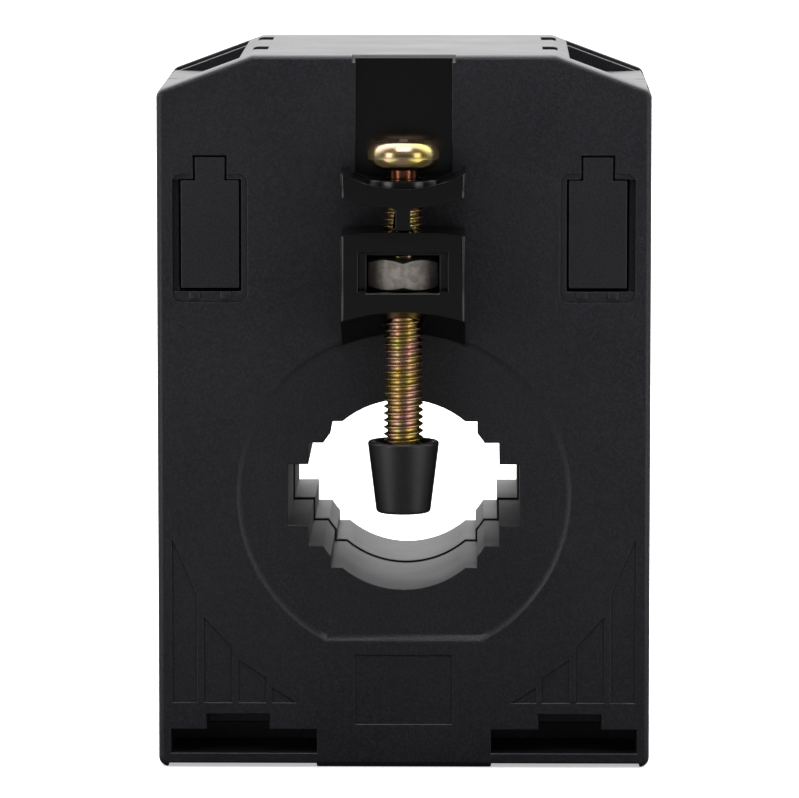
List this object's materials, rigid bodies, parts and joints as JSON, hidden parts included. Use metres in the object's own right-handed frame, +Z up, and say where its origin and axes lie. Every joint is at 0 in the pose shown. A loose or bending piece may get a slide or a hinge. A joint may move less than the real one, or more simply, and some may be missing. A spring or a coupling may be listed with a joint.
{
  "type": "current transformer",
  "caption": "Window-type current transformer: moulded two-shell case with a stepped busbar window, snap latches and a clamp screw that drives a pressure tip",
  "frame": {"origin": "on the standing face, under the middle of the window, half way through the depth of the case", "axes": "+Z up towards the roof, -Y out of the front face with the clamp screw, +X to the viewer's right, along the width"},
  "size_m": [0.05, 0.0433, 0.0727],
  "materials": {
    "case_black": "black moulded plastic with a fine spark-eroded texture",
    "chromated_steel": "steel with a yellow chromate coat, faintly iridescent",
    "zinc_steel": "zinc-plated steel, satin",
    "tip_black": "smooth black plastic, satin",
    "tinned_brass": "brass with a tin coat, satin",
    "core_steel": "wound strip of transformer steel, dull",
    "insulation_film": "cream insulating film, matt",
    "winding_copper": "enamelled copper wire, glossy",
    "tape_yellow": "yellow polyester tape, satin",
    "foam_grey": "grey cellular foam, matt",
    "lead_red": "red insulating sleeve, satin"
  },
  "bodies": {
    "case": {"front_shell": "case_black", "rear_shell": "case_black", "clamp_nut": "zinc_steel", "terminal_bar_left": "tinned_brass", "terminal_bar_right": "tinned_brass", "core": "core_steel", "core_insulation": "insulation_film", "secondary_winding": "winding_copper", "winding_tape": "tape_yellow", "front_cushion": "foam_grey", "rear_cushion": "foam_grey", "lead_left": "lead_red", "lead_right": "lead_red"},
    "tip": {"pressure_tip": "tip_black"},
    "screw": {"clamp_screw": "chromated_steel"},
    "terminal_screw_l": {"terminal_screw_left": "zinc_steel"},
    "terminal_screw_r": {"terminal_screw_right": "zinc_steel"},
    "cage_l": {"terminal_cage_left": "zinc_steel"},
    "cage_r": {"terminal_cage_right": "zinc_steel"}
  },
  "joints": [
    {"name": "tip_feed", "type": "slide", "parent": "case", "child": "tip", "axis": [0, 0, 1], "range_m": [-0.0009, 0.01]},
    {"name": "screw_turn", "type": "hinge", "parent": "tip", "child": "screw", "pos_m": [0, -0.021, 0.045], "axis": [0, 0, 1], "range_deg": [-480, 5160]},
    {"name": "terminal_turn_left", "type": "hinge", "parent": "case", "child": "terminal_screw_l", "pos_m": [-0.02, -0.0065, 0.066], "axis": [0, 0, 1], "range_deg": [-1640, 20]},
    {"name": "terminal_turn_right", "type": "hinge", "parent": "case", "child": "terminal_screw_r", "pos_m": [0.02, -0.0065, 0.066], "axis": [0, 0, 1], "range_deg": [-1640, 20]},
    {"name": "cage_lift_left", "type": "slide", "parent": "case", "child": "cage_l", "axis": [0, 0, 1], "range_m": [0, 0.0027]},
    {"name": "cage_lift_right", "type": "slide", "parent": "case", "child": "cage_r", "axis": [0, 0, 1], "range_m": [0, 0.0027]}
  ],
  "couplings": [
    {"joint": "screw_turn", "follows": "tip_feed", "rad_per_m": 8976},
    {"joint": "terminal_turn_left", "follows": "cage_lift_left", "rad_per_m": -10472},
    {"joint": "terminal_turn_right", "follows": "cage_lift_right", "rad_per_m": -10472}
  ]
}
